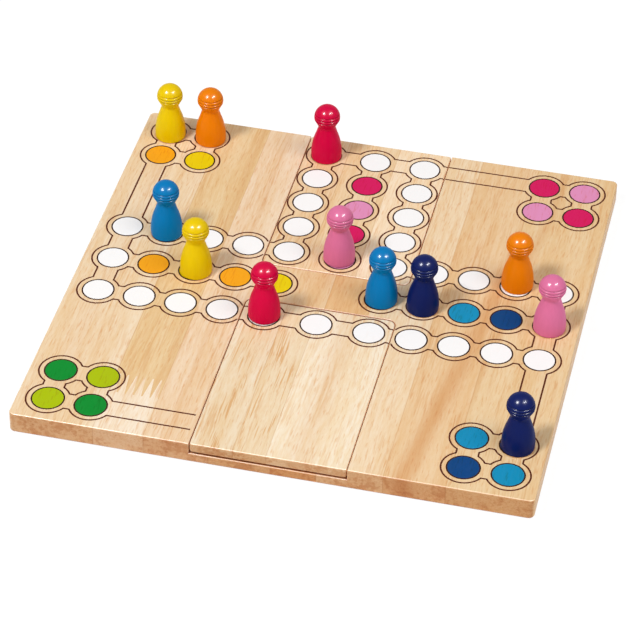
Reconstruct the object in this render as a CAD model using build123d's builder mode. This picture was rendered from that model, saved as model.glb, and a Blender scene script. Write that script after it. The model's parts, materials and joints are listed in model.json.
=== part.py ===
from build123d import *
import math
import os

# A ludo board for two, three or four players, in millimetres.
# A square board is edge-glued from rubberwood staves whose grain runs front to back. Two shallow
# recesses are milled into its top, open at the front and at the back edge. Each holds a loose
# plate that is turned over to open or to close one arm of the track. Twelve turned pawns stand
# on the fields. X runs right, Y runs from the front edge to the back edge, Z runs up, and the
# origin is the centre of the board's underside.

# Board
board_side = 298.5
board_thick = 13.0
board_corner = 3.5
board_round = 1.0
glue_lines = (-100.0, -71.0, -34.0, 1.5, 27.5, 65.0, 100.0)

# Finger joint that lengthens the second stave from the left
jointed_stave = 2
finger_root_y = -117.0
finger_length = 16.0
finger_count = 6
finger_tip = 0.8

# Recesses: the bar between them keeps the full thickness, and at the board's edge the floor is
# relieved, so that a fingertip gets under the plate
bar_width = 33.0
recess_width = 90.0
recess_corner = 5.0
recess_ease = 0.3
relief_depth = 1.2
relief_length = 8.0
floor_round = 0.8

# Loose plates, as thick as the recesses are deep, so that they lie flush with the board
plate_thick = 6.0
plate_gap = 0.45
plate_setback = 0.1
plate_corner = 1.6
plate_round = 1.0
front_plate_glue_lines = (-20.0, -1.0)
back_plate_glue_lines = (-18.0, 12.5)

# Track: the fields next to the middle row or column stand further from it than the others
field_pitch = 25.0
middle_pitch = 31.25

# Pawn, turned about its own axis: a bell body whose flank is one arc up to its shoulder, a waisted
# neck, then a ball head whose underside is undercut from its lowest groove down to the neck
pawn_foot_radius = 9.4
pawn_foot_ease = 0.8
pawn_belly_radius = 9.1
pawn_belly_height = 9.0
pawn_shoulder_radius = 6.75
pawn_shoulder_height = 17.8
pawn_neck_radius = 5.1
pawn_neck_height = 23.0
head_radius = 8.0
head_height = 29.9
groove_depth = 0.45
groove_width = 0.7
groove_pitch = 1.8
groove_count = 3
first_groove_height = 29.0

# Each pawn: the column and the row of its field, counted from the centre, and how far from the
# field's centre a hand has put it down
pawns = {
    "pawn_yellow_1": (-5, 5, (0.5, -3.2)),
    "pawn_yellow_2": (-3, 0, (1.1, 0.0)),
    "pawn_orange_1": (-4, 5, (1.0, -1.4)),
    "pawn_orange_2": (4, 1, (0.5, 1.9)),
    "pawn_crimson_1": (-1, 5, (0.1, -0.7)),
    "pawn_crimson_2": (-1, -1, (0.1, 1.0)),
    "pawn_pink_1": (0, 1, (-0.7, 0.9)),
    "pawn_pink_2": (5, 0, (0.6, -1.4)),
    "pawn_light_blue_1": (-4, 1, (-0.5, 0.0)),
    "pawn_light_blue_2": (1, 0, (0.7, 0.0)),
    "pawn_dark_blue_1": (2, 0, (0.6, -1.2)),
    "pawn_dark_blue_2": (5, -4, (1.0, -0.8)),
}

# Sizes that follow
half_side = board_side / 2
half_bar = bar_width / 2
floor_thick = board_thick - plate_thick
clear = 1.0

os.makedirs("parts", exist_ok=True)


def save(piece, label):
    piece.part.label = label
    export_step(piece.part, f"parts/{label}.step")


# ---------------------------------------------------------------- board
# The glued blank: rounded all round, then the two recesses are milled through its edges.
recess_overrun = 2 * recess_corner
recess_length = half_side - half_bar + recess_overrun

with BuildPart() as board:
    with BuildSketch():
        RectangleRounded(board_side, board_side, board_corner)
    extrude(amount=board_thick)
    rims = board.edges().group_by(Axis.Z)
    fillet(rims[0] + rims[-1], radius=board_round)
    with BuildSketch(Plane.XY.offset(board_thick)):
        for side in (-1, 1):
            with Locations((0, side * (half_bar + recess_length / 2))):
                RectangleRounded(recess_width, recess_length, recess_corner)
    extrude(amount=-plate_thick, mode=Mode.SUBTRACT)
    with BuildSketch(Plane.XY.offset(floor_thick)):
        for side in (-1, 1):
            with Locations((0, side * (half_side - relief_length / 2))):
                Rectangle(recess_width, relief_length)
    extrude(amount=-relief_depth, mode=Mode.SUBTRACT)
    floor_edges = board.edges().filter_by(
        lambda edge: abs(edge.center().Z - (floor_thick - relief_depth)) < clear / 100
        and abs(abs(edge.center().Y) - half_side) < clear / 100
    )
    fillet(floor_edges, radius=floor_round)
    mouth_edges = (
        board.edges()
        .group_by(Axis.Z)[-1]
        .filter_by(lambda edge: abs(edge.center().X) < recess_width / 2 + clear)
    )
    chamfer(mouth_edges, length=recess_ease)


def cut_stave(panel, outline, label):
    """Keep the part of a glued panel that lies inside one stave's outline, seen from above."""
    with BuildPart() as stave:
        add(panel.part)
        with BuildSketch(Plane.XY.offset(-clear)):
            with BuildLine():
                Polyline(*outline, close=True)
            make_face()
        extrude(amount=board_thick + 2 * clear, mode=Mode.INTERSECT)
    save(stave, label)
    return stave


def strip(left, right, front, back):
    """The outline of a straight stave."""
    return [(left, front), (right, front), (right, back), (left, back)]


def finger_line(left, right):
    """The zigzag that two blocks of a stave share, from left to right, with blunt tips."""
    pitch = (right - left) / finger_count
    tip_y = finger_root_y + finger_length
    points = [(left, finger_root_y)]
    for finger in range(finger_count):
        start = left + finger * pitch
        middle = start + pitch / 2
        points += [
            (start + finger_tip / 2, finger_root_y),
            (middle - finger_tip / 2, tip_y),
            (middle + finger_tip / 2, tip_y),
            (start + pitch - finger_tip / 2, finger_root_y),
        ]
    return points + [(right, finger_root_y)]


outer = half_side + clear
edges = (-outer, *glue_lines, outer)
for number, (left, right) in enumerate(zip(edges, edges[1:]), start=1):
    label = f"board_stave_{number}"
    if number == jointed_stave:
        zigzag = finger_line(left, right)
        cut_stave(board, [(left, outer), *zigzag, (right, outer)], label)
        cut_stave(board, [(left, -outer), *zigzag, (right, -outer)], label + "_front_block")
    else:
        cut_stave(board, strip(left, right, -outer, outer), label)


# ---------------------------------------------------------------- plates
# A plate is the same on both faces, so that it seats either way up. Its inner corners follow the
# cutter's radius in the recess, and its outer end stands just inside the board's edge.
plate_width = recess_width - 2 * plate_gap
plate_length = half_side - plate_setback - half_bar - plate_gap
plate_middle_y = half_bar + plate_gap + plate_length / 2


def make_plate(side, lines, label):
    """A plate in the front (-1) or the back (1) recess, cut into the staves it is glued from."""
    with BuildPart() as plate:
        with BuildSketch(Plane.XY.offset(floor_thick)) as outline:
            with Locations((0, side * plate_middle_y)):
                Rectangle(plate_width, plate_length)
            corners = outline.vertices().sort_by(Axis.Y, reverse=side > 0)
            fillet(corners[:2], radius=plate_corner)
            corners = outline.vertices().group_by(Axis.Y)
            fillet(corners[0 if side > 0 else -1], radius=recess_corner - plate_gap)
        extrude(amount=plate_thick)
        rims = plate.edges().group_by(Axis.Z)
        fillet(rims[0] + rims[-1], radius=plate_round)
    cuts = (-outer, *lines, outer)
    for name, left, right in zip(("left", "middle", "right"), cuts, cuts[1:]):
        cut_stave(plate, strip(left, right, -outer, outer), f"{label}_{name}_stave")


make_plate(-1, front_plate_glue_lines, "front_plate")
make_plate(1, back_plate_glue_lines, "back_plate")


# ---------------------------------------------------------------- pawns
def field_distance(step):
    """How far a field of the given column or row number lies from the board's centre line."""
    if step == 0:
        return 0.0
    return math.copysign(middle_pitch + (abs(step) - 1) * field_pitch, step)


def head_point(height, depth=0.0):
    """A point of the ball head's outline at a height above the foot, or some depth inside it."""
    radius = math.sqrt(head_radius**2 - (height - head_height) ** 2)
    return (radius - depth, height)


def make_pawn(label, x, y):
    """A pawn turned from one piece, standing on the board, with V grooves round its head."""
    lip = (pawn_foot_radius, pawn_foot_ease)
    belly = (pawn_belly_radius, pawn_belly_height)
    shoulder = (pawn_shoulder_radius, pawn_shoulder_height)
    neck = (pawn_neck_radius, pawn_neck_height)
    crown = (0, head_height + head_radius)
    stand = Plane(origin=(x, y, board_thick), x_dir=(1, 0, 0), z_dir=(0, -1, 0))
    with BuildPart() as pawn:
        with BuildSketch(stand):
            with BuildLine():
                Polyline((0, 0), (pawn_foot_radius - pawn_foot_ease, 0), lip)
                ThreePointArc(lip, belly, shoulder)
                Line(shoulder, neck)
                below = neck
                for turn in range(groove_count):
                    height = first_groove_height + turn * groove_pitch
                    mouth = head_point(height - groove_width / 2)
                    Line(below, mouth)
                    below = head_point(height + groove_width / 2)
                    Polyline(mouth, head_point(height, groove_depth), below)
                ThreePointArc(below, head_point((below[1] + crown[1]) / 2), crown)
                Line(crown, (0, 0))
            make_face()
        revolve(axis=Axis((x, y, board_thick), (0, 0, 1)))
    save(pawn, label)


for label, (column, row, nudge) in pawns.items():
    make_pawn(label, field_distance(column) + nudge[0], field_distance(row) + nudge[1])
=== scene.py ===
import json
import math

import bmesh
import bpy
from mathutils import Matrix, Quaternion, Vector

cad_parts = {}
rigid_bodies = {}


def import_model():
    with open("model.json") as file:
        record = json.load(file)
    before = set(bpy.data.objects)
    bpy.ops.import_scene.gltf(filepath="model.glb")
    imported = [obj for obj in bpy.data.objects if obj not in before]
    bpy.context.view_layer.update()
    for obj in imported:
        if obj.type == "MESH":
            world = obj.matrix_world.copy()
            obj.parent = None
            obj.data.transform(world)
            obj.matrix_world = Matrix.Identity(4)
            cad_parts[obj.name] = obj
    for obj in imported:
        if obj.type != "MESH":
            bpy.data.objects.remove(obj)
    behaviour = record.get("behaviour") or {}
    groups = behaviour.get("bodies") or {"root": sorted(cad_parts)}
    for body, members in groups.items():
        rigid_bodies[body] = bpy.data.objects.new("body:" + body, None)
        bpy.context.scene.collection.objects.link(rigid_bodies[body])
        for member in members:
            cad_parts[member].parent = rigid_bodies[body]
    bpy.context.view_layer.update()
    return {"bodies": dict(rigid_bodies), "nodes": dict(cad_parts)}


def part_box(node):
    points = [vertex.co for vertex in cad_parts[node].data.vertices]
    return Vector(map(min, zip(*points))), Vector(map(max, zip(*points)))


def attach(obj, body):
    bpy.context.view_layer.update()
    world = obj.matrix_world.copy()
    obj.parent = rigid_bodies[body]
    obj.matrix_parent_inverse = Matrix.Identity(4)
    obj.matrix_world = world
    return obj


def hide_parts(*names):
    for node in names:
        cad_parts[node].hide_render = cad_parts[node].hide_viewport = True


# Lengths are in metres, angles in degrees.
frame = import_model()

# ---------------------------------------------------------------- camera
# A long lens looks down on the board from in front of it, a little from the right, at about forty
# degrees, and is rolled by a degree.
CAMERA_PLACE = (0.28608, -1.33093, 1.11324)
CAMERA_TURN = (50.4990, -0.9201, 13.0756)
CAMERA_LENS = 167.64
CAMERA_SENSOR = 36

bpy.ops.object.select_all(action="DESELECT")
bpy.ops.object.camera_add(
    location=CAMERA_PLACE, rotation=[math.radians(angle) for angle in CAMERA_TURN]
)
camera = bpy.context.active_object
camera.data.lens = CAMERA_LENS
camera.data.sensor_width = CAMERA_SENSOR
bpy.context.scene.camera = camera
bpy.context.scene.view_settings.view_transform = "Standard"


# ---------------------------------------------------------------- studio
# A white table top under a white surround. Two soft boxes hang over the front of the board, and
# the one on the left is the stronger, so shadows fall back and to the right. A second lamp in the
# place of each is seen in gloss alone, and gives the bright glints on the lacquer.
TABLE_SIZE = 9.0
TABLE_DROP = 0.0004
TABLE_WHITE = (0.86, 0.86, 0.86, 1)
TABLE_ROUGHNESS = 0.9
TABLE_GLOW = 0.84
GLOW_STRENGTH = 1.06
WHITE = (1, 1, 1, 1)
SKY_LIGHT = 0.32
LAMP_DISTANCE = 3.0
LEFT_AIM = (-0.376, -0.413, 0.82)
RIGHT_AIM = (0.516, -0.177, 0.845)
LAMPS = {
    "soft_box_left": {"aim": LEFT_AIM, "size": (0.70, 0.70), "power": 51.4},
    "soft_box_right": {"aim": RIGHT_AIM, "size": (1.74, 1.74), "power": 29.4},
    "glint_left": {"aim": LEFT_AIM, "size": (0.78, 0.78), "power": 480},
    "glint_right": {"aim": RIGHT_AIM, "size": (0.42, 1.50), "power": 500, "roll": -100},
}


def new_material(name):
    """A material with a Principled shader, and its tree and shader."""
    material = bpy.data.materials.new(name)
    material.use_nodes = True
    return material, material.node_tree, material.node_tree.nodes["Principled BSDF"]


def add_node(tree, kind, inputs=None, **settings):
    """A node of the given kind, with its settings, and its inputs set to values or joined."""
    node = tree.nodes.new(kind)
    for name, value in settings.items():
        setattr(node, name, value)
    for name, value in (inputs or {}).items():
        if isinstance(value, bpy.types.NodeSocket):
            tree.links.new(value, node.inputs[name])
        else:
            node.inputs[name].default_value = value
    return node


def calculate(tree, operation, *values):
    """The result of a Math node on numbers or sockets."""
    node = add_node(tree, "ShaderNodeMath", dict(enumerate(values)), operation=operation)
    return node.outputs[0]


def seen_directly(tree):
    """1 for rays from the camera and rays that glossy or clear surfaces send on, otherwise 0."""
    rays = add_node(tree, "ShaderNodeLightPath").outputs
    either = calculate(tree, "MAXIMUM", rays["Is Camera Ray"], rays["Is Glossy Ray"])
    return calculate(tree, "MAXIMUM", either, rays["Is Transmission Ray"])


bpy.ops.object.select_all(action="DESELECT")
bpy.ops.mesh.primitive_plane_add(size=TABLE_SIZE, location=(0, 0, -TABLE_DROP))
table_top = bpy.context.active_object
table_top.name = "table_top"
material, tree, shader = new_material("white table top")
shader.inputs["Base Color"].default_value = TABLE_WHITE
shader.inputs["Roughness"].default_value = TABLE_ROUGHNESS

# Where it is seen directly, the table top mostly glows, so that it stays an even white.
glow = add_node(tree, "ShaderNodeEmission", {"Color": WHITE, "Strength": GLOW_STRENGTH})
share = calculate(tree, "MULTIPLY", seen_directly(tree), TABLE_GLOW)
blend = add_node(
    tree, "ShaderNodeMixShader", {0: share, 1: shader.outputs[0], 2: glow.outputs[0]}
)
tree.links.new(blend.outputs[0], tree.nodes["Material Output"].inputs["Surface"])
material.cycles.emission_sampling = "NONE"
table_top.data.materials.append(material)

# The surround is full white where it is seen directly, and lights the board less than that.
world = bpy.data.worlds.new("white surround")
bpy.context.scene.world = world
world.use_nodes = True
tree = world.node_tree
background = tree.nodes["Background"]
background.inputs["Color"].default_value = WHITE
strength = add_node(
    tree,
    "ShaderNodeMapRange",
    {"Value": seen_directly(tree), "To Min": SKY_LIGHT, "To Max": 1.0},
)
tree.links.new(strength.outputs["Result"], background.inputs["Strength"])

for name, lamp in LAMPS.items():
    bpy.ops.object.light_add(type="AREA", location=Vector(lamp["aim"]) * LAMP_DISTANCE)
    light = bpy.context.active_object
    light.name = name
    facing = (-Vector(lamp["aim"])).to_track_quat("-Z", "Y")
    roll = Quaternion((0, 0, 1), math.radians(lamp.get("roll", 0)))
    light.rotation_euler = (facing @ roll).to_euler()
    light.data.shape = "ELLIPSE"
    light.data.size, light.data.size_y = lamp["size"]
    light.data.energy = lamp["power"]
    light.visible_diffuse = name.startswith("soft_box")

# Each lamp gets the same share of the samples. A light tree would give most of them to the glints.
bpy.context.scene.cycles.use_light_tree = False


# ---------------------------------------------------------------- board and plates
# Rubberwood staves, planed, edge-glued and sanded fine under a thin satin lacquer. Each stave was
# sawn from another plank, so each has its own tone, its own grain and here and there a tan streak
# of heartwood. Their front and back ends show end grain, which takes the lacquer darker.
FIGURE_SHADE = (0.92, 0.80, 0.62)
FIGURE_SHARE = 0.8
FIBRE_SHARE = 0.5
PORE_SHADE = (0.84, 0.58, 0.36)
PORE_SHARE = 0.5
STREAK_SHADE = (0.84, 0.62, 0.40)
STREAK_SHARE = 0.4
HEART_SHADE = (0.86, 0.68, 0.50)
GLUE_SHADE = (0.80, 0.66, 0.52)
GLUE_SHARE = 0.6
GLUE_REACH = (0.0004, 0.0001)
END_GRAIN = (0.70, 0.51, 0.36)
END_TURN = (0.35, 0.85)
END_BLOTCH = (0.80, 0.60, 0.44)
BLOTCH_LIMITS = (0.35, 0.85)
BLOTCH_SHARE = 0.6
# Painted shade for crevices: the wood is darkened where other faces stand near, in the gaps round
# the plates and by the pawns' feet.
PAINTED_CREVICE_SHADE = (0.84, 0.52, 0.31)
PAINTED_CREVICE_LIMITS = (0.85, 0.40)
CREVICE_REACH = 0.0016
AIR_SAMPLES = 6
# Painted shade for the relief under a plate's end, which is darkened still more where it is closed
# in.
PAINTED_RELIEF_SHADE = (0.50, 0.18, 0.06)
PAINTED_RELIEF_LIMITS = (0.98, 0.55)
RELIEF_TOP = 0.0069
SATIN = 0.36
SATIN_SPREAD = 0.12
WOOD_SHINE = 0.30
PORE_DENT = -0.6
FIBRE_RISE = 0.25
WOOD_BUMP = {"strength": 0.25, "distance": 0.00008}

STAVES = {
    "board_stave_1": {"tone": (236, 215, 185), "seed": 3.1, "hearts": [(-0.128, 0, 0.010, 0.25)]},
    "board_stave_2": {"tone": (229, 201, 156), "seed": 7.7, "hearts": [(-0.074, 0, 0.004, 0.35)]},
    "board_stave_2_front_block": {"tone": (241, 225, 204), "seed": 11.3},
    "board_stave_3": {"tone": (236, 212, 183), "seed": 15.9, "hearts": [(-0.058, 0, 0.003, 0.3)]},
    "board_stave_4": {"tone": (229, 199, 158), "seed": 19.2},
    "board_stave_5": {"tone": (227, 187, 136), "seed": 23.8},
    "board_stave_6": {"tone": (238, 217, 187), "seed": 27.4},
    "board_stave_7": {"tone": (231, 200, 159), "seed": 31.6, "hearts": [(0.094, 0.12, 0.009, 1)]},
    "board_stave_8": {
        "tone": (230, 202, 160), "seed": 36.2, "hearts": [(0.105, 0.085, 0.006, 0.6)],
    },
    "front_plate_left_stave": {"tone": (235, 218, 191), "seed": 41.5, "streaks": 0.9},
    "front_plate_middle_stave": {"tone": (234, 214, 182), "seed": 45.1, "streaks": 1.0},
    "front_plate_right_stave": {
        "tone": (244, 232, 211), "seed": 49.7, "hearts": [(0.017, 0, 0.013, 0.5)],
    },
    "back_plate_left_stave": {"tone": (234, 207, 170), "seed": 53.3},
    "back_plate_middle_stave": {"tone": (235, 209, 172), "seed": 57.9},
    "back_plate_right_stave": {"tone": (245, 225, 198), "seed": 61.2},
}

# Grain of sawn rubberwood: broad and narrow figure, fine fibres, short dark pores and bundles of
# vessel streaks, all along Y, which drift a little to the side. Each pattern has its cells to the
# metre across the grain and along it, and the detail of its noise. The limits say between which
# values of the noise a pattern comes up.
PATTERNS = {
    "drift": (14.0, 7.0, 2.0),
    "broad": (75.0, 3.0, 3.0),
    "narrow": (400.0, 28.0, 3.0),
    "fibre": (950.0, 170.0, 2.0),
    "pores": (1200.0, 130.0, 1.0),
    "streaks": (900.0, 42.0, 1.0),
    "bundles": (70.0, 14.0, 1.0),
}
LIMITS = {
    "figure": (0.36, 0.66),
    "fibre": (0.3, 0.7),
    "pores": (0.58, 0.72),
    "streaks": (0.52, 0.64),
    "bundles": (0.38, 0.58),
}
DRIFT_WIDTH = 0.006
NARROW_SHARE = 0.45


def colour(red, green, blue):
    """A colour written from 0 to 255, as the shader's own numbers."""
    shares = [value / 255 for value in (red, green, blue)]
    return (*[s / 12.92 if s <= 0.04045 else ((s + 0.055) / 1.055) ** 2.4 for s in shares], 1)


def new_group(name, inputs, outputs):
    """A shader node group with named number sockets: the group, what comes in and what goes out."""
    tree = bpy.data.node_groups.new(name, "ShaderNodeTree")
    for label in inputs:
        tree.interface.new_socket(label, in_out="INPUT", socket_type="NodeSocketFloat")
    for label in outputs:
        tree.interface.new_socket(label, in_out="OUTPUT", socket_type="NodeSocketFloat")
    return tree, tree.nodes.new("NodeGroupInput").outputs, tree.nodes.new("NodeGroupOutput").inputs


def grain_noise(tree, pattern, axes, seed):
    """One pattern of the grain: noise whose cells are stretched along Y."""
    across, along, detail = PATTERNS[pattern]
    x = calculate(tree, "MULTIPLY_ADD", axes[0], across, seed)
    y = calculate(tree, "MULTIPLY", axes[1], along)
    z = calculate(tree, "MULTIPLY", axes[2], across)
    place = add_node(tree, "ShaderNodeCombineXYZ", {0: x, 1: y, 2: z}).outputs[0]
    inputs = {"Vector": place, "Scale": 1.0, "Detail": detail}
    return add_node(tree, "ShaderNodeTexNoise", inputs).outputs[0]


def ramp(tree, value, low, high, to_low=0.0, to_high=1.0):
    """A smooth step of a value between two limits."""
    inputs = {
        "Value": value,
        "From Min": low,
        "From Max": high,
        "To Min": to_low,
        "To Max": to_high,
    }
    node = add_node(tree, "ShaderNodeMapRange", inputs, interpolation_type="SMOOTHSTEP")
    return node.outputs[0]


def tint(tree, base, share, shade):
    """A colour multiplied by a shade, as far as the share says. Of the Mix node's sockets, 0 is
    the share, 6 and 7 are the two colours, and 2 is what comes out."""
    inputs = {0: share, 6: base, 7: (*shade, 1)}
    node = add_node(tree, "ShaderNodeMix", inputs, data_type="RGBA", blend_type="MULTIPLY")
    return node.outputs[2]


def look_around(tree, reach):
    """How open a place is: 1 in the open, and less the more other faces stand within reach."""
    node = add_node(tree, "ShaderNodeAmbientOcclusion", {"Distance": reach}, samples=AIR_SAMPLES)
    return node.outputs["AO"]


def add_bump(tree, shader, height, strength, distance, invert=False):
    """Small dents and rises in a surface."""
    inputs = {"Height": height, "Strength": strength, "Distance": distance}
    bump = add_node(tree, "ShaderNodeBump", inputs, invert=invert)
    tree.links.new(bump.outputs[0], shader.inputs["Normal"])


grain, given, result = new_group(
    "rubberwood grain", ["Seed"], ["Figure", "Fibre", "Pores", "Streaks", "Wander"]
)
place = add_node(grain, "ShaderNodeTexCoord").outputs["Object"]
axes = add_node(grain, "ShaderNodeSeparateXYZ", {0: place}).outputs
drift = grain_noise(grain, "drift", axes, given["Seed"])
wander = calculate(grain, "MULTIPLY_ADD", drift, DRIFT_WIDTH, -DRIFT_WIDTH / 2)
across = calculate(grain, "ADD", axes[0], wander)
lines = (across, axes[1], axes[2])
noise = {
    pattern: grain_noise(grain, pattern, lines, given["Seed"])
    for pattern in PATTERNS
    if pattern != "drift"
}
broad = calculate(grain, "MULTIPLY", noise["broad"], 1 - NARROW_SHARE)
noise["figure"] = calculate(grain, "MULTIPLY_ADD", noise["narrow"], NARROW_SHARE, broad)
drawn = {pattern: ramp(grain, noise[pattern], *limits) for pattern, limits in LIMITS.items()}
drawn["streaks"] = calculate(grain, "MULTIPLY", drawn["streaks"], drawn["bundles"])
for label in ("Figure", "Fibre", "Pores", "Streaks"):
    grain.links.new(drawn[label.lower()], result[label])
grain.links.new(across, result["Wander"])


def wood_material(name, sides, tone, seed, hearts=(), streaks=STREAK_SHARE):
    """Lacquered rubberwood of one tone. sides are the x of its two glued edges, hearts are (place,
    slant, half width, depth) of tan streaks, and streaks is how strongly its vessels are drawn.
    Crevices get painted shade and are dull, and the relief under a plate's end gets the darkest
    painted shade."""
    material, tree, shader = new_material(name)
    wood = add_node(tree, "ShaderNodeGroup", node_tree=grain)
    wood.inputs["Seed"].default_value = seed
    figure, fibre, pores, vessels, across = wood.outputs
    spot = add_node(tree, "ShaderNodeTexCoord").outputs
    x, y, z = add_node(tree, "ShaderNodeSeparateXYZ", {0: spot["Object"]}).outputs
    facing = add_node(tree, "ShaderNodeSeparateXYZ", {0: spot["Normal"]}).outputs["Y"]
    openness = look_around(tree, CREVICE_REACH)

    share = calculate(tree, "MULTIPLY", figure, FIGURE_SHARE)
    base = tint(tree, colour(*tone), share, FIGURE_SHADE)
    for middle, slant, half_width, depth in hearts:
        centre = calculate(tree, "MULTIPLY_ADD", y, slant, middle)
        offset = calculate(tree, "ABSOLUTE", calculate(tree, "SUBTRACT", across, centre))
        base = tint(tree, base, ramp(tree, offset, half_width, 0.0, 0.0, depth), HEART_SHADE)
    base = tint(tree, base, calculate(tree, "MULTIPLY", fibre, FIBRE_SHARE), FIGURE_SHADE)
    base = tint(tree, base, calculate(tree, "MULTIPLY", pores, PORE_SHARE), PORE_SHADE)
    base = tint(tree, base, calculate(tree, "MULTIPLY", vessels, streaks), STREAK_SHADE)
    for side in sides:
        offset = calculate(tree, "ABSOLUTE", calculate(tree, "SUBTRACT", x, side))
        base = tint(tree, base, ramp(tree, offset, *GLUE_REACH, 0.0, GLUE_SHARE), GLUE_SHADE)
    end = ramp(tree, calculate(tree, "ABSOLUTE", facing), *END_TURN)
    base = tint(tree, base, end, END_GRAIN)
    patches = ramp(tree, figure, *BLOTCH_LIMITS, 0.0, BLOTCH_SHARE)
    base = tint(tree, base, calculate(tree, "MULTIPLY", end, patches), END_BLOTCH)
    # Painted shade: darker where other faces stand near, in the gaps round the plates and round the
    # pawns' feet. These places are also made dull.
    painted_crevice_share = ramp(tree, openness, *PAINTED_CREVICE_LIMITS)
    base = tint(tree, base, painted_crevice_share, PAINTED_CREVICE_SHADE)
    # Painted shade: the relief under a plate's end, low down and closed in, is darkened further.
    low_down = calculate(tree, "LESS_THAN", z, RELIEF_TOP)
    painted_relief_share = calculate(tree, "MULTIPLY", ramp(tree, openness, *PAINTED_RELIEF_LIMITS), low_down)
    base = tint(tree, base, painted_relief_share, PAINTED_RELIEF_SHADE)
    tree.links.new(base, shader.inputs["Base Color"])

    satin = calculate(tree, "MULTIPLY_ADD", fibre, SATIN_SPREAD, SATIN)
    roughness = calculate(tree, "MAXIMUM", satin, painted_crevice_share)
    tree.links.new(roughness, shader.inputs["Roughness"])
    shader.inputs["Specular IOR Level"].default_value = WOOD_SHINE
    rise = calculate(tree, "MULTIPLY", fibre, FIBRE_RISE)
    height = calculate(tree, "MULTIPLY_ADD", pores, PORE_DENT, rise)
    add_bump(tree, shader, height, **WOOD_BUMP)
    return material


for node, look in STAVES.items():
    low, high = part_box(node)
    piece = frame["nodes"][node]
    material = wood_material(node.replace("_", " "), (low.x, high.x), **look)
    piece.data.materials.clear()
    piece.data.materials.append(material)


# ---------------------------------------------------------------- printed track
# Screen printed on the wood: round fields with a dark outline, and a brown contour line that runs
# round each row of fields. The ink is a few hundredths of a millimetre thick. Each plate is
# printed on both faces: the full arm on one, and the short cut of three fields on the other.
MIDDLE_PITCH = 0.03125
FIELD_PITCH = 0.025
FIELD_RADIUS = 0.00925
CONTOUR_RADIUS = 0.0125
CHANNEL = CONTOUR_RADIUS / 2
FIELD_LINE = 0.00088
CONTOUR_LINE = 0.00100
INK_THICK = 0.00005
INK_SINK = 0.00001
OUTLINE_LIFT = 0.00002
ROUND_STEPS = 72
SEAM_STEPS = 60
BEND_CUTS = 4
SAME_PLACE = 1e-7
PLATE_ROUND = 0.0010
PLATE_GAP = 0.00045
RECESS_EASE = 0.0003
EDGE_STOP = 0.00015
LINK_STOP = 0.0017
LINK_WINDOW = math.asin(CHANNEL / CONTOUR_RADIUS)
LINK_REACH = CONTOUR_RADIUS * math.cos(LINK_WINDOW)
LINK_OVERLAP = CONTOUR_LINE / 2 * math.tan(LINK_WINDOW)

INK_TONES = {
    "line": (86, 34, 14),
    "outline": (50, 22, 12),
    "white": (246, 244, 243),
    "yellow": (228, 202, 0),
    "orange": (240, 163, 22),
    "magenta": (210, 20, 92),
    "pink": (222, 142, 184),
    "light_blue": (14, 140, 186),
    "dark_blue": (0, 64, 124),
    "green": (0, 136, 44),
    "lime": (168, 188, 0),
}
INK_COVER = {"line": 0.8, "outline": 0.8, "white": 0.96}
COLOUR_COVER = 0.55
INK_SATIN = 0.38
INK_SHINE = 0.06
INK_BUMP = {"strength": 0.15, "distance": 0.00004}


def step_place(step):
    """How far a column or a row of fields stands from the board's centre line."""
    if step == 0:
        return 0.0
    return math.copysign(MIDDLE_PITCH + (abs(step) - 1) * FIELD_PITCH, step)


def field_place(field):
    """The centre of a field, given as column and row."""
    return Vector((step_place(field[0]), step_place(field[1]), 0))


def start_sheet(name):
    """An empty mesh at the origin, open for modelling."""
    bpy.ops.object.select_all(action="DESELECT")
    bpy.ops.mesh.primitive_plane_add(size=1, location=(0, 0, 0))
    piece = bpy.context.active_object
    piece.name = name
    bpy.ops.object.mode_set(mode="EDIT")
    bpy.ops.mesh.delete(type="VERT")
    return piece


def add_disc(centre, radius):
    """A filled round in the open sheet, left selected."""
    bpy.ops.mesh.select_all(action="DESELECT")
    bpy.ops.mesh.primitive_circle_add(
        vertices=ROUND_STEPS, radius=radius, fill_type="NGON", location=centre
    )


def add_ring(piece, centre, radius, width, windows=()):
    """A ring line in the open sheet, cut away where a channel leaves in one of the directions."""
    add_disc(centre, radius + width / 2)
    bpy.ops.mesh.inset(thickness=width)
    bpy.ops.mesh.delete(type="FACE")
    mesh = bmesh.from_edit_mesh(piece.data)
    for face in mesh.faces:
        spoke = (face.calc_center_median() - centre).to_2d()
        near = spoke.length < radius + width
        turns = [spoke.angle(way.to_2d()) for way in windows if near]
        face.select_set(any(turn < LINK_WINDOW for turn in turns))
    bmesh.update_edit_mesh(piece.data)
    if any(face.select for face in mesh.faces):
        bpy.ops.mesh.delete(type="FACE")


def add_bar(start, end, width, steps):
    """A straight line in the open sheet, along X or along Y, cut across into steps."""
    middle, span = (start + end) / 2, end - start
    bpy.ops.mesh.select_all(action="DESELECT")
    bpy.ops.mesh.primitive_grid_add(
        x_subdivisions=steps, y_subdivisions=1, size=1, location=middle
    )
    stretch = (max(abs(span.x), width), max(abs(span.y), width), 1)
    bpy.ops.transform.resize(value=stretch, center_override=middle)


def add_channel(first, second, trim, steps):
    """The two lines of the channel between two points, each end shortened by its trim."""
    way = (second - first).normalized()
    side = Vector((-way.y, way.x, 0)) * CHANNEL
    start = first + way * (trim[0] - LINK_OVERLAP)
    end = second - way * (trim[1] - LINK_OVERLAP)
    for sign in (-1, 1):
        add_bar(start + side * sign, end + side * sign, CONTOUR_LINE, steps)


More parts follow.
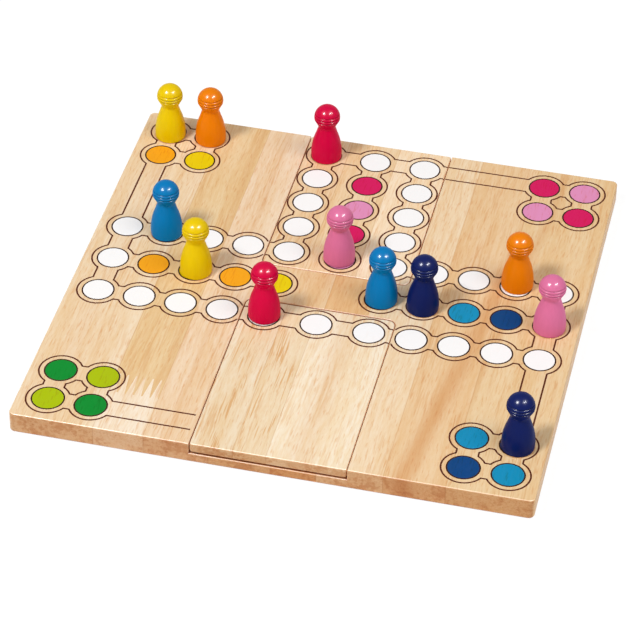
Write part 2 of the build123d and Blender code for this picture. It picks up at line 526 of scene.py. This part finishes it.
def close_sheet(piece, top, facing):
    """Ends the modelling: the sheet gets the ink's thickness and lies on the face at height top."""
    bpy.ops.mesh.select_all(action="SELECT")
    bpy.ops.mesh.remove_doubles(threshold=SAME_PLACE)
    bpy.ops.mesh.normals_make_consistent(inside=False)
    bpy.ops.object.mode_set(mode="OBJECT")
    modifier = piece.modifiers.new("ink thickness", "SOLIDIFY")
    modifier.thickness = INK_THICK + INK_SINK
    modifier.offset = 0.0
    bpy.ops.object.modifier_apply(modifier=modifier.name)
    middle = top + facing * (INK_THICK - INK_SINK) / 2
    for vertex in piece.data.vertices:
        vertex.co.z += middle


def ink_material(name, tone, cover):
    """Printing ink of one tone. cover is how much of the grain under it the ink hides."""
    material, tree, shader = new_material(name)
    wood = add_node(tree, "ShaderNodeGroup", node_tree=grain)
    wood.inputs["Seed"].default_value = STAVES["board_stave_4"]["seed"]
    show = calculate(tree, "MULTIPLY", wood.outputs["Pores"], 1 - cover)
    base = tint(tree, colour(*tone), show, PORE_SHADE)
    show = calculate(tree, "MULTIPLY", wood.outputs["Figure"], (1 - cover) / 2)
    base = tint(tree, base, show, FIGURE_SHADE)
    tree.links.new(base, shader.inputs["Base Color"])
    satin = calculate(tree, "MULTIPLY_ADD", wood.outputs["Fibre"], SATIN_SPREAD, INK_SATIN)
    tree.links.new(satin, shader.inputs["Roughness"])
    shader.inputs["Specular IOR Level"].default_value = INK_SHINE
    add_bump(tree, shader, wood.outputs["Pores"], **INK_BUMP, invert=True)
    return material


INKS = {
    ink: ink_material(f"{ink} ink", tone, INK_COVER.get(ink, COLOUR_COVER))
    for ink, tone in INK_TONES.items()
}


def row(*fields):
    """The links between one field and the next along a row of fields."""
    return list(zip(fields, fields[1:]))


def home_square(column, line):
    """The four links of a home of two by two fields, given its lowest column and row."""
    corners = [(column, line), (column + 1, line), (column + 1, line + 1), (column, line + 1)]
    return row(*corners, corners[0])


def arm(side):
    """The links of a full arm along Y and of its lane. side is 1 for the back, -1 for the front."""
    return (
        row(*[(-1, step * side) for step in range(1, 6)], (0, 5 * side))
        + row((0, 5 * side), *[(1, step * side) for step in range(5, 0, -1)])
        + row(*[(0, step * side) for step in range(5, 0, -1)])
        + row((-1, side), (-2, side))
        + row((1, side), (2, side))
    )


def arm_whites(side):
    """The white fields of a full arm along Y."""
    return [(column, step * side) for column in (-1, 1) for step in range(1, 6)] + [(0, 5 * side)]


def short_cut(side):
    """The links of the three fields that close an arm."""
    return row((0, side), (1, side), (2, side)) + row((0, side), (-1, side), (-2, side))


board_whites = [
    (column * side, line) for side in (-1, 1) for line in (-1, 1) for column in range(2, 6)
] + [(-5, 0), (5, 0)]
board_links = (
    row(*[(column, 1) for column in range(-2, -6, -1)], (-5, 0))
    + row((-5, 0), *[(column, -1) for column in range(-5, -1)])
    + row(*[(column, 1) for column in range(2, 6)], (5, 0))
    + row((5, 0), *[(column, -1) for column in range(5, 1, -1)])
    + row(*[(column, 0) for column in range(-5, 0)])
    + row(*[(column, 0) for column in range(5, 0, -1)])
    + [((2 * side, line), (side, line)) for side in (-1, 1) for line in (-1, 1)]
    + home_square(-5, 4) + home_square(4, 4) + home_square(-5, -5) + home_square(4, -5)
    + row((-5, 4), (-5, 1)) + row((5, -4), (5, -1))
    + row((4, 5), (1, 5)) + row((-4, -5), (-1, -5))
)

board_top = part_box("board_stave_4")[1].z
plate_low, plate_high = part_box("back_plate_left_stave")[0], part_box("back_plate_right_stave")[1]
plate_half = plate_high.x

# Half the width of a recess at its eased mouth, and half that of the bar between the recesses
recess_half = plate_half + PLATE_GAP + RECESS_EASE
bar_half = plate_low.y - PLATE_GAP + RECESS_EASE

# Each print: what carries it, the height of its face and which way that face looks, the edge at
# which a channel leaves its carrier, its fields by colour and the links between its fields.
PRINTS = {
    "board": {
        "body": "board", "face": board_top, "facing": 1, "seam": recess_half,
        "fields": {
            "white": board_whites,
            "yellow": [(-3, 0), (-1, 0), (-5, 5), (-4, 4)],
            "orange": [(-4, 0), (-2, 0), (-4, 5), (-5, 4)],
            "magenta": [(4, 5), (5, 4)],
            "pink": [(5, 5), (4, 4)],
            "light_blue": [(3, 0), (1, 0), (4, -4), (5, -5)],
            "dark_blue": [(4, 0), (2, 0), (5, -4), (4, -5)],
            "green": [(-5, -4), (-4, -5)],
            "lime": [(-4, -4), (-5, -5)],
        },
        "links": board_links,
    },
    "back_plate_arm": {
        "body": "back_plate", "face": plate_high.z, "facing": 1, "seam": plate_half,
        "fields": {
            "white": arm_whites(1), "magenta": [(0, 4), (0, 2)], "pink": [(0, 3), (0, 1)],
        },
        "links": arm(1) + row((1, 5), (4, 5)),
    },
    "back_plate_short_cut": {
        "body": "back_plate", "face": plate_low.z, "facing": -1, "seam": plate_half,
        "fields": {"white": [(-1, 1), (0, 1), (1, 1)]},
        "links": short_cut(1),
    },
    "front_plate_short_cut": {
        "body": "front_plate", "face": plate_high.z, "facing": 1, "seam": plate_half,
        "fields": {"white": [(-1, -1), (0, -1), (1, -1)]},
        "links": short_cut(-1),
    },
    "front_plate_arm": {
        "body": "front_plate", "face": plate_low.z, "facing": -1, "seam": plate_half,
        "fields": {
            "white": arm_whites(-1), "green": [(0, -4), (0, -2)], "lime": [(0, -3), (0, -1)],
        },
        "links": arm(-1) + row((1, -5), (4, -5)),
    },
}


def finish_print(piece, job, ink):
    """Gives a print its face, its ink and its carrier. It bends over a plate's round edge, and
    ends where a recess begins."""
    flat_half = plate_half - PLATE_ROUND
    if job["body"] != "board":
        mesh = bmesh.from_edit_mesh(piece.data)
        for face in mesh.faces:
            face.select_set(abs(face.calc_center_median().x) > flat_half - CONTOUR_LINE)
        bmesh.update_edit_mesh(piece.data)
        if any(face.select for face in mesh.faces):
            bpy.ops.mesh.subdivide(number_cuts=BEND_CUTS)
    close_sheet(piece, job["face"], job["facing"])
    for vertex in piece.data.vertices:
        x, y, _ = vertex.co
        over = abs(x) - flat_half
        if job["body"] == "board":
            if abs(x) < recess_half and abs(y) > bar_half:
                vertex.co.x = math.copysign(recess_half, x)
        elif over > 0:
            drop = PLATE_ROUND - math.sqrt(max(PLATE_ROUND**2 - over**2, 0))
            vertex.co.z -= drop * job["facing"]
    piece.data.materials.append(INKS[ink])
    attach(piece, job["body"])


# A channel is drawn between two fields. Where the second one lies on another carrier, it runs to
# the seam between them, a little short of a plate's own edge. The one from the home at the front
# left stops short of the front recess.
for name, job in PRINTS.items():
    every_field = [field for fields in job["fields"].values() for field in fields]
    ways = {field: [] for field in every_field}
    channels = []
    for first, second in job["links"]:
        start, end = field_place(first), field_place(second)
        way = (end - start).normalized()
        ways[first].append(way)
        trim, steps = LINK_REACH, 1
        if second in ways:
            ways[second].append(-way)
        else:
            end.x = math.copysign(job["seam"], start.x)
            trim, steps = LINK_OVERLAP, SEAM_STEPS
            if job["body"] != "board":
                trim += EDGE_STOP
            elif second == (-1, -5):
                trim += LINK_STOP
        if (end - start).length > LINK_REACH + trim + CONTOUR_LINE:
            channels.append((start, end, (LINK_REACH, trim), steps))
    contour = start_sheet(f"print_{name}_contour")
    for field in every_field:
        add_ring(contour, field_place(field), CONTOUR_RADIUS, CONTOUR_LINE, ways[field])
    for channel in channels:
        add_channel(*channel)
    finish_print(contour, job, "line")
    outline = start_sheet(f"print_{name}_outline")
    for field in every_field:
        add_ring(outline, field_place(field), FIELD_RADIUS, FIELD_LINE)
    finish_print(outline, job, "outline")
    for vertex in outline.data.vertices:
        vertex.co.z += OUTLINE_LIFT * job["facing"]
    for ink, fields in job["fields"].items():
        sheet = start_sheet(f"print_{name}_{ink}")
        for field in fields:
            add_disc(field_place(field), FIELD_RADIUS)
        finish_print(sheet, job, ink)


# ---------------------------------------------------------------- pawns
# Each pawn is turned from one piece of hardwood: a bell body, a narrow neck and a ball head with
# three fine grooves. It is then dipped in opaque lacquer, which dries glossy and rounds every edge.
PAWN_FOOT = 0.0094
PAWN_FOOT_ROUND = 0.0008
PAWN_BELLY = (0.0091, 0.0090)
PAWN_SHOULDER = (0.00675, 0.0178)
PAWN_NECK = (0.0051, 0.0230)
NECK_COVE = 0.00018
HEAD_RADIUS = 0.0080
HEAD_HEIGHT = 0.0299
GROOVE_HEIGHTS = (0.0290, 0.0308, 0.0326)
GROOVE_DEPTH = 0.00053
GROOVE_HALF = 0.000504
PAWN_SIDES = 96
FOOT_STEPS = 5
BODY_STEPS = 37
GROOVE_STEPS = 5
CROWN_STEPS = 12
SMOOTH_BELOW = 50

PAWN_TONES = {
    "yellow": (230, 196, 0),
    "orange": (233, 126, 0),
    "crimson": (208, 0, 63),
    "pink": (219, 114, 157),
    "light_blue": (0, 118, 181),
    "dark_blue": (12, 27, 88),
}
TURNING_CELLS = (700, 700, 60)
TURNING_DETAIL = 3.0
TURNING_LIMITS = (0.35, 0.65)
TURNING_SHADE = (0.75, 0.75, 0.75)
TURNING_SHARE = 0.10
# Painted shade: the lacquer is darkened in the grooves, at the neck and by the foot, where other
# faces stand near.
PAINTED_HOLLOW_SHADE = (0.58, 0.58, 0.58)
PAINTED_HOLLOW_LIMITS = (0.9, 0.35)
HOLLOW_REACH = 0.0010
UNDERCOAT_ROUGHNESS = 0.35
UNDERCOAT_SHINE = 0.02
COAT_LIMITS = (0.65, 1.0)
COAT_WEIGHTS = (0.02, 0.11)
COAT_ROUGHNESS = 0.18
LACQUER_BUMP = {"strength": 0.08, "distance": 0.00006}


def circle_through(first, middle, last):
    """The centre and radius of the circle through three points of a profile."""
    (ax, ay), (bx, by), (cx, cy) = first, middle, last
    twice = 2 * (ax * (by - cy) + bx * (cy - ay) + cx * (ay - by))
    squares = [x * x + y * y for x, y in (first, middle, last)]
    x = (squares[0] * (by - cy) + squares[1] * (cy - ay) + squares[2] * (ay - by)) / twice
    y = (squares[0] * (cx - bx) + squares[1] * (ax - cx) + squares[2] * (bx - ax)) / twice
    return x, y, math.hypot(ax - x, ay - y)


def along(low, high, height):
    """The radius at a height on the straight line through two points of a profile."""
    return low[0] + (high[0] - low[0]) * (height - low[1]) / (high[1] - low[1])


def pawn_rings():
    """Radius and height of each ring of a pawn's profile, from the foot to just under the crown."""
    # The foot's round edge
    rings = []
    for step in range(FOOT_STEPS + 1):
        angle = math.pi / 2 * (step / FOOT_STEPS - 1)
        rings.append((
            PAWN_FOOT - PAWN_FOOT_ROUND + PAWN_FOOT_ROUND * math.cos(angle),
            PAWN_FOOT_ROUND + PAWN_FOOT_ROUND * math.sin(angle),
        ))

    # The body and the head's underside up to the lowest groove, with a small cove at the neck
    lip = (PAWN_FOOT, PAWN_FOOT_ROUND)
    centre_x, centre_y, radius = circle_through(lip, PAWN_BELLY, PAWN_SHOULDER)
    jaw_height = GROOVE_HEIGHTS[0] - GROOVE_HALF
    jaw = (math.sqrt(HEAD_RADIUS**2 - (jaw_height - HEAD_HEIGHT) ** 2), jaw_height)
    for step in range(1, BODY_STEPS):
        height = PAWN_FOOT_ROUND + (jaw_height - PAWN_FOOT_ROUND) * step / BODY_STEPS
        if height < PAWN_SHOULDER[1]:
            flank = centre_x + math.sqrt(radius**2 - (height - centre_y) ** 2)
        else:
            flank = along(PAWN_SHOULDER, PAWN_NECK, height)
        underside = along(PAWN_NECK, jaw, height)
        middle, half = (flank + underside) / 2, (flank - underside) / 2
        rings.append((middle + math.sqrt(half**2 + NECK_COVE**2), height))

    # The head, with its grooves and its crown
    heights = []
    for groove in GROOVE_HEIGHTS:
        for step in range(-GROOVE_STEPS, GROOVE_STEPS + 1):
            heights.append(groove + GROOVE_HALF * step / GROOVE_STEPS)
    top = math.asin((GROOVE_HEIGHTS[-1] + GROOVE_HALF - HEAD_HEIGHT) / HEAD_RADIUS)
    for step in range(1, CROWN_STEPS):
        angle = top + (math.pi / 2 - top) * step / CROWN_STEPS
        heights.append(HEAD_HEIGHT + HEAD_RADIUS * math.sin(angle))
    for height in heights:
        ball = math.sqrt(HEAD_RADIUS**2 - (height - HEAD_HEIGHT) ** 2)
        depth = 0.0
        for groove in GROOVE_HEIGHTS:
            share = min(abs(height - groove) / GROOVE_HALF, 1)
            depth += GROOVE_DEPTH * math.cos(share * math.pi / 2) ** 2
        rings.append((ball - depth, height))
    return rings


def lacquer_material(name, tone):
    """Opaque glossy lacquer over turned wood, with a trace of the grain in its surface. In the
    grooves, at the neck and under the foot's edge, where other faces stand near, it gets painted
    shade, and its coat is thinner there so that it shines less."""
    material, tree, shader = new_material(name)
    spot = add_node(tree, "ShaderNodeTexCoord").outputs["Object"]
    cells = add_node(tree, "ShaderNodeMapping", {"Vector": spot, "Scale": TURNING_CELLS}).outputs[0]
    inputs = {"Vector": cells, "Scale": 1.0, "Detail": TURNING_DETAIL}
    noise = add_node(tree, "ShaderNodeTexNoise", inputs).outputs[0]
    openness = look_around(tree, HOLLOW_REACH)

    turning = calculate(tree, "MULTIPLY", ramp(tree, noise, *TURNING_LIMITS), TURNING_SHARE)
    base = tint(tree, colour(*tone), turning, TURNING_SHADE)
    # Painted shade in the grooves, at the neck and by the foot.
    base = tint(tree, base, ramp(tree, openness, *PAINTED_HOLLOW_LIMITS), PAINTED_HOLLOW_SHADE)
    tree.links.new(base, shader.inputs["Base Color"])
    shader.inputs["Roughness"].default_value = UNDERCOAT_ROUGHNESS
    shader.inputs["Specular IOR Level"].default_value = UNDERCOAT_SHINE
    coat = ramp(tree, openness, *COAT_LIMITS, *COAT_WEIGHTS)
    tree.links.new(coat, shader.inputs["Coat Weight"])
    shader.inputs["Coat Roughness"].default_value = COAT_ROUGHNESS
    add_bump(tree, shader, noise, **LACQUER_BUMP)
    return material


LACQUERS = {
    shade: lacquer_material(f"{shade} lacquer", tone) for shade, tone in PAWN_TONES.items()
}

# One pawn is turned at the origin, ring by ring upwards, and closed at the crown.
rings = pawn_rings()
bpy.ops.object.select_all(action="DESELECT")
bpy.ops.mesh.primitive_circle_add(
    vertices=PAWN_SIDES, radius=rings[0][0], fill_type="NGON", location=(0, 0, 0)
)
turned_pawn = bpy.context.active_object
bpy.ops.object.mode_set(mode="EDIT")
for (radius, height), (next_radius, next_height) in zip(rings, rings[1:]):
    bpy.ops.mesh.extrude_region_move(
        TRANSFORM_OT_translate={"value": (0, 0, next_height - height)}
    )
    grow = next_radius / radius
    bpy.ops.transform.resize(value=(grow, grow, 1), center_override=(0, 0, next_height))
bpy.ops.mesh.extrude_region_move(
    TRANSFORM_OT_translate={"value": (0, 0, HEAD_HEIGHT + HEAD_RADIUS - rings[-1][1])}
)
bpy.ops.mesh.merge(type="CENTER")
bpy.ops.mesh.select_all(action="SELECT")
bpy.ops.mesh.normals_make_consistent(inside=False)
bpy.ops.object.mode_set(mode="OBJECT")
bpy.ops.object.shade_smooth_by_angle(angle=math.radians(SMOOTH_BELOW))

# The pawns are copies of it, each set down on its own place.
for body in frame["bodies"]:
    if not body.startswith("pawn_"):
        continue
    shade = body.removeprefix("pawn_").rsplit("_", 1)[0]
    low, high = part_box(body)
    bpy.ops.object.select_all(action="DESELECT")
    turned_pawn.select_set(True)
    bpy.context.view_layer.objects.active = turned_pawn
    bpy.ops.object.duplicate(linked=False)
    pawn = bpy.context.active_object
    pawn.name = f"turned_{body}"
    pawn.data.name = pawn.name
    pawn.location = ((low.x + high.x) / 2, (low.y + high.y) / 2, low.z)
    bpy.ops.object.transform_apply(location=True)
    pawn.data.materials.append(LACQUERS[shade])
    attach(pawn, body)
    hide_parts(body)
bpy.data.objects.remove(turned_pawn)
